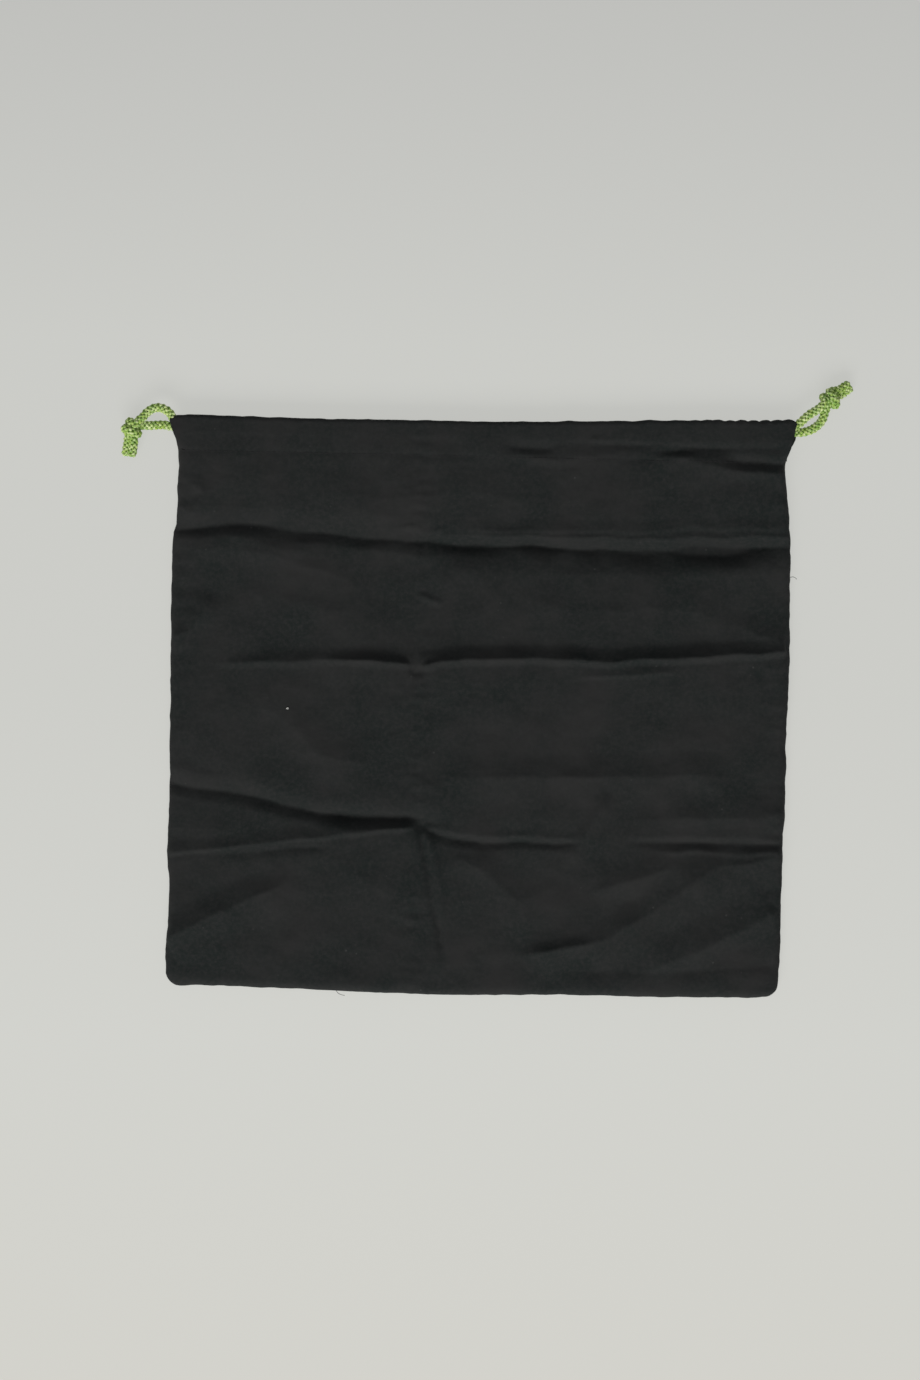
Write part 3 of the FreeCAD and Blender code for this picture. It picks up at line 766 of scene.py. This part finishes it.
# %% A row of copies of the stitch
def stitch_row(name, xs, ys, zs, node):
    """Copies of the stitch laid end to end along a line of points, joined into one row."""
    line = np.stack((xs, ys, zs), axis=1)
    travelled = np.concatenate(([0], np.cumsum(np.linalg.norm(np.diff(line, axis=0), axis=1))))
    centres = np.arange(STITCH_LENGTH / 2, travelled[-1] - STITCH_LENGTH / 2,
                        STITCH_LENGTH + STITCH_GAP)
    bpy.ops.object.select_all(action="DESELECT")
    for centre in centres:
        before, here, after = (
            Vector([np.interp(centre + reach, travelled, line[:, axis]) for axis in range(3)])
            for reach in (-1, 0, 1))
        heading = (after - before).normalized()
        aside = UP.cross(heading).normalized()
        turned = Matrix((heading, aside, heading.cross(aside))).transposed().to_4x4()
        stitch = one_stitch.copy()
        stitch.data = one_stitch.data.copy()
        stitch.matrix_world = Matrix.Translation(here * MM) @ turned
        bpy.context.collection.objects.link(stitch)
        stitch.select_set(True)
        bpy.context.view_layer.objects.active = stitch
    bpy.ops.object.join()
    bpy.ops.object.transform_apply(location=True, rotation=True, scale=True)
    row = bpy.context.object
    row.name = name
    row.data.name = name
    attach(row, "sack")
    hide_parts(node)
    print(f"{name}: {len(centres)} stitches")
    return row


# %% Stitch rows
SEWN_IN = 0.6
seam_x = np.linspace(-172, 172, 400)
seam_y = STITCH_LINE + 0.6 * slow_noise(seam_x, seam_x * 0, 40, 2.0)
thread_pieces = [
    stitch_row("front_casing_stitches", seam_x, seam_y, front_height(seam_x, seam_y) + 0.05,
               "front_casing_thread"),
    stitch_row("back_casing_stitches", seam_x, seam_y, np.full(len(seam_x), 0.35), "back_casing_thread"),
]
for name, side, edge, seed in side_seams:
    inside = edge_at(edge, along_y, seed) - side * (EDGE_INSET + SEWN_IN)
    thread_pieces.append(stitch_row(f"{name}_side_stitches", inside, along_y,
                                    np.full(len(along_y), SEAM_LEVEL), f"{name}_side_thread"))
thread_pieces.append(stitch_row("bottom_stitches", along_x, outer + SEWN_IN,
                                np.full(len(along_x), SEAM_LEVEL), "bottom_thread"))
bpy.data.objects.remove(one_stitch)

# %% [markdown]
# ## Loose threads
# Cut ends of sewing thread stand out from the seams, and a speck of white lint has caught on the
# cloth. They are small, but a real sack is never without them.

# %% Loose threads and lint
THREAD_RADIUS = 0.14
LINT_RADIUS = 0.16


def fibre(name, route, radius):
    """A thin round thread: a curve given a thickness and turned into a mesh."""
    piece = lay_route(name, route)
    piece.data.bevel_depth = radius * MM
    piece.data.bevel_resolution = 1
    piece.data.use_fill_caps = True
    bpy.context.collection.objects.link(piece)
    bpy.ops.object.select_all(action="DESELECT")
    piece.select_set(True)
    bpy.context.view_layer.objects.active = piece
    bpy.ops.object.convert(target="MESH")
    piece = bpy.context.object
    bpy.ops.object.shade_smooth()
    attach(piece, "sack")
    print(f"{name}: {len(piece.data.polygons)} faces")
    return piece


thread_pieces.append(fibre("loose_thread_right", [
    (174.6, 78, 4.6), (177.9, 77, 5.0), (180.6, 77.8, 4.2), (182.2, 76.2, 3.0)], THREAD_RADIUS))
thread_pieces.append(fibre("loose_thread_bottom", [
    (-78, -162.4, 5.4), (-77, -165.6, 4.4), (-74.5, -168.3, 2.6), (-72.0, -168.7, 1.0)], THREAD_RADIUS))
lint_z = float(front_height(np.array([-108.0]), np.array([-4.3]))[0])
lint = fibre("lint", [
    (-108.6, -4.8, lint_z + 0.1), (-107.8, -3.7, lint_z + 0.5), (-107.2, -4.6, lint_z + 0.6),
    (-108.2, -5.0, lint_z + 0.5), (-108.0, -3.9, lint_z + 0.2)], LINT_RADIUS)

# %% [markdown]
# ## Finishes made of nodes
# Each finish is a small network of nodes that ends in one shader. A few helpers keep the networks
# short to read: one adds a node, and the others mix, stretch, multiply or emboss what they are given.

# %% Helpers for node materials
def new_finish(name):
    """A material with its node tree, its shader and its links."""
    finish = bpy.data.materials.new(name)
    finish.use_nodes = True
    return finish, finish.node_tree, finish.node_tree.nodes["Principled BSDF"]


def add_node(tree, kind, **settings):
    """A node with its properties and its input values set by name."""
    node = tree.nodes.new(kind)
    for key, value in settings.items():
        if key in node.inputs:
            node.inputs[key].default_value = value
        else:
            setattr(node, key, value)
    return node


def mix_colours(tree, factor, first, second):
    """Mix two colours by a factor."""
    mix = add_node(tree, "ShaderNodeMix", data_type="RGBA")
    tree.links.new(factor, mix.inputs["Factor"])
    for socket, colour in ((mix.inputs[6], first), (mix.inputs[7], second)):
        if isinstance(colour, tuple):
            socket.default_value = (*colour, 1)
        else:
            tree.links.new(colour, socket)
    return mix.outputs[2]


def map_range(tree, value, low, high):
    """Stretch a value from low..high to 0..1."""
    node = add_node(tree, "ShaderNodeMapRange")
    tree.links.new(value, node.inputs["Value"])
    node.inputs["From Min"].default_value = low
    node.inputs["From Max"].default_value = high
    return node.outputs["Result"]


def noise_value(tree, place, scale, detail, roughness=0.5):
    """Noise read at a place."""
    node = add_node(tree, "ShaderNodeTexNoise", Scale=scale, Detail=detail, Roughness=roughness)
    tree.links.new(place, node.inputs["Vector"])
    return node.outputs["Fac"]


def math_value(tree, operation, first, second):
    """One sum or product of two values."""
    node = add_node(tree, "ShaderNodeMath", operation=operation)
    for socket, value in zip(node.inputs, (first, second)):
        if isinstance(value, (int, float)):
            socket.default_value = value
        else:
            tree.links.new(value, socket)
    return node.outputs[0]


def bump(tree, height, strength, distance, normal=None):
    """A bump from a height, over an earlier one if there is one."""
    node = add_node(tree, "ShaderNodeBump", Strength=strength, Distance=distance)
    tree.links.new(height, node.inputs["Height"])
    if normal is not None:
        tree.links.new(normal, node.inputs["Normal"])
    return node.outputs["Normal"]


# %% [markdown]
# ## The table and the light
# The sack lies on a pale table whose emission glows: painted light, brighter on the near side and
# dimmer on the far side, which keeps the sack's shadow faint. One large soft lamp stands low on the
# near side, with a pale room all round. The lamp is what shows the folds: the far side of each ridge
# turns away from it.

# %% Table
bpy.ops.object.select_all(action="DESELECT")
bpy.ops.mesh.primitive_plane_add(size=10, location=(0, 0, 0))
table = bpy.context.object
table.name = "table"
table_painted_glow_finish, tree, shader = new_finish("table_with_painted_glow")
shader.inputs["Base Color"].default_value = (0.118, 0.119, 0.115, 1)
shader.inputs["Roughness"].default_value = 0.8
# Painted light: the table glows though it is no lamp, brighter on the near side, to lighten shadows.
shader.inputs["Specular IOR Level"].default_value = 0.1
shader.inputs["Emission Strength"].default_value = 1.0
place = add_node(tree, "ShaderNodeTexCoord").outputs["Object"]
parts = add_node(tree, "ShaderNodeSeparateXYZ")
tree.links.new(place, parts.inputs["Vector"])
glow = add_node(tree, "ShaderNodeValToRGB")
tree.links.new(map_range(tree, parts.outputs["Y"], -0.40, 0.42), glow.inputs["Fac"])
glow.color_ramp.elements[0].color = (0.536, 0.530, 0.492, 1)
glow.color_ramp.elements[1].color = (0.436, 0.438, 0.422, 1)
for share, colour in ((0.25, (0.538, 0.541, 0.512, 1)), (0.50, (0.512, 0.515, 0.489, 1)),
                      (0.74, (0.506, 0.510, 0.486, 1))):
    glow.color_ramp.elements.new(share).color = colour
tree.links.new(glow.outputs["Color"], shader.inputs["Emission Color"])
table.data.materials.append(table_painted_glow_finish)
print("steps of the table's glow:", len(glow.color_ramp.elements))

# %% Room and lamp
world = bpy.data.worlds.new("room")
bpy.context.scene.world = world
world.use_nodes = True
background = world.node_tree.nodes["Background"]
background.inputs["Color"].default_value = (0.98, 0.99, 1.0, 1)
background.inputs["Strength"].default_value = 0.30
LAMP_AWAY = Vector((-0.55, -2.85, 2.25))
lamp_data = bpy.data.lights.new("window", "AREA")
lamp_data.shape = "RECTANGLE"
lamp_data.size = 3.2
lamp_data.size_y = 1.7
lamp_data.energy = 130
lamp_data.color = (1.0, 0.985, 0.96)
lamp = bpy.data.objects.new("window", lamp_data)
lamp.location = LAMP_AWAY
lamp.rotation_euler = (-LAMP_AWAY).to_track_quat("-Z", "Y").to_euler()
bpy.context.collection.objects.link(lamp)
bpy.context.scene.view_settings.view_transform = "Standard"
print("lamp's distance in m:", round(LAMP_AWAY.length, 2))

# %% [markdown]
# ## Black cotton
# Dyed black cotton reflects about two hundredths of the light. It is a plain weave, so its bump is
# two sets of threads, each going over and under the other: the product of two waves makes that
# chequered pattern. Wear and dust make it slightly uneven, from the size of a thread up to the
# size of a hand, and a few pale crumbs of lint are scattered over it.

# %% Cotton
THREAD_PITCH = 0.00055
WAVE_SCALE = 2 * math.pi / (20 * 2 * THREAD_PITCH)  # a wave texture has 20 / (2 pi) bands a metre
cotton, tree, shader = new_finish("black_cotton")
weave_place = add_node(tree, "ShaderNodeTexCoord").outputs["UV"]
cloth_place = add_node(tree, "ShaderNodeTexCoord").outputs["Object"]
waves = []
for direction in ("X", "Y"):
    wave = add_node(tree, "ShaderNodeTexWave", bands_direction=direction, Scale=WAVE_SCALE,
                    Distortion=0.6)
    wave.inputs["Detail Scale"].default_value = 0.4
    tree.links.new(weave_place, wave.inputs["Vector"])
    waves.append(math_value(tree, "SUBTRACT", wave.outputs["Fac"], 0.5))
weave = math_value(tree, "MULTIPLY", *waves)
slubs = noise_value(tree, cloth_place, 1500, 2)
weave_height = math_value(tree, "ADD", math_value(tree, "MULTIPLY", weave, 2.0), slubs)
hand_wear = map_range(tree, noise_value(tree, cloth_place, 24, 4, 0.62), 0.36, 0.66)
dust = map_range(tree, noise_value(tree, cloth_place, 420, 5, 0.7), 0.42, 0.74)
dark = mix_colours(tree, hand_wear, (0.0122, 0.0158, 0.0152), (0.0227, 0.0229, 0.0228))
dusty = mix_colours(tree, dust, dark, (0.0250, 0.0255, 0.0255))
crumbs = add_node(tree, "ShaderNodeTexVoronoi", Scale=85.0)
tree.links.new(cloth_place, crumbs.inputs["Vector"])
crumb = map_range(tree, crumbs.outputs["Distance"], 0.062, 0.028)
some = map_range(tree, noise_value(tree, cloth_place, 60, 2), 0.46, 0.56)
crumb = math_value(tree, "MULTIPLY", crumb, some)
colour = mix_colours(tree, crumb, dusty, (0.0400, 0.0405, 0.0400))
tree.links.new(colour, shader.inputs["Base Color"])
crumple = noise_value(tree, cloth_place, 130, 5, 0.6)
normal = bump(tree, crumple, 0.4, 0.0014)
normal = bump(tree, weave_height, 0.5, 0.0001, normal)
tree.links.new(normal, shader.inputs["Normal"])
shader.inputs["Roughness"].default_value = 0.92
shader.inputs["Specular IOR Level"].default_value = 0.12
shader.inputs["Sheen Weight"].default_value = 0.02
shader.inputs["Sheen Roughness"].default_value = 0.6
for piece in [front_cloth, back_cloth] + seam_pieces:
    piece.data.materials.append(cotton)
print("nodes in the cotton:", len(tree.nodes))

# %% [markdown]
# ## Sewing thread and lint
# Black thread is smoother than the cloth, so it is a touch brighter. Its twist is a fine slanting
# wave that bumps it and also paints it: painted light on the raised twist, painted shade between.

# %% Thread
thread_finish, tree, shader = new_finish("black_thread")
place = add_node(tree, "ShaderNodeTexCoord").outputs["Object"]
twist = add_node(tree, "ShaderNodeTexWave", bands_direction="DIAGONAL", Scale=900)
tree.links.new(place, twist.inputs["Vector"])
# Painted light and shade: lighter where the twist's wave is high, darker where it is low.
colour = mix_colours(tree, twist.outputs["Fac"], (0.013, 0.013, 0.014), (0.024, 0.024, 0.025))
tree.links.new(colour, shader.inputs["Base Color"])
tree.links.new(bump(tree, twist.outputs["Fac"], 0.5, 0.00005), shader.inputs["Normal"])
shader.inputs["Roughness"].default_value = 0.75
shader.inputs["Specular IOR Level"].default_value = 0.15
for piece in thread_pieces:
    piece.data.materials.append(thread_finish)
print("nodes in the thread:", len(tree.nodes))

# %% Lint
lint_finish, tree, shader = new_finish("white_lint")
place = add_node(tree, "ShaderNodeTexCoord").outputs["Object"]
pale = mix_colours(tree, noise_value(tree, place, 900, 2), (0.55, 0.56, 0.52), (0.8, 0.8, 0.78))
tree.links.new(pale, shader.inputs["Base Color"])
shader.inputs["Roughness"].default_value = 0.9
lint.data.materials.append(lint_finish)
print("nodes in the lint:", len(tree.nodes))

# %% [markdown]
# ## The cord's yarn
# The braid is painted a fresh yellow-green where a yarn comes to the top and a deep leaf green in the
# gaps: painted highlight and painted shade. Each vertex of the braid knows how far it stands out (its
# crown value), so the painting can follow the weave exactly. Some fibres are paler than the rest; they
# are painted only on the yarns' tops, so these flecks are partly pale fibres, partly painted highlight.

# %% Cord
lime, tree, shader = new_finish("green_cord")
crown = add_node(tree, "ShaderNodeAttribute", attribute_name="crown").outputs["Fac"]
place = add_node(tree, "ShaderNodeTexCoord").outputs["Object"]
shade = add_node(tree, "ShaderNodeAttribute", attribute_name="shade").outputs["Fac"]
fibres = noise_value(tree, place, 1500, 3, 0.6)
lit = math_value(tree, "ADD", crown, math_value(tree, "MULTIPLY", fibres, 0.7))
# Painted light and shade: the yarns' tops are painted lighter, the gaps between them darker.
depth = map_range(tree, lit, 0.22, 0.85)
painted_light_and_shade = mix_colours(tree, depth, (0.150, 0.312, 0.050), (0.380, 0.520, 0.110))
leaf = mix_colours(tree, map_range(tree, shade, 0.2, 0.8), (0.230, 0.410, 0.090), painted_light_and_shade)
# Pale flecks, only on the yarns' tops: partly paler fibres, partly painted highlight.
fleck_pale_fibre_and_highlight = map_range(tree, noise_value(tree, place, 560, 3, 0.65), 0.46, 0.66)
top = map_range(tree, crown, 0.05, 0.7)
colour = mix_colours(tree, math_value(tree, "MULTIPLY", fleck_pale_fibre_and_highlight, top), leaf, (0.77, 0.85, 0.48))
tree.links.new(colour, shader.inputs["Base Color"])
tree.links.new(bump(tree, noise_value(tree, place, 3200, 3), 0.6, 0.00018), shader.inputs["Normal"])
shader.inputs["Roughness"].default_value = 0.85
shader.inputs["Specular IOR Level"].default_value = 0.2
for piece in cord_pieces:
    piece.data.materials.append(lime)
print("nodes in the cord:", len(tree.nodes))
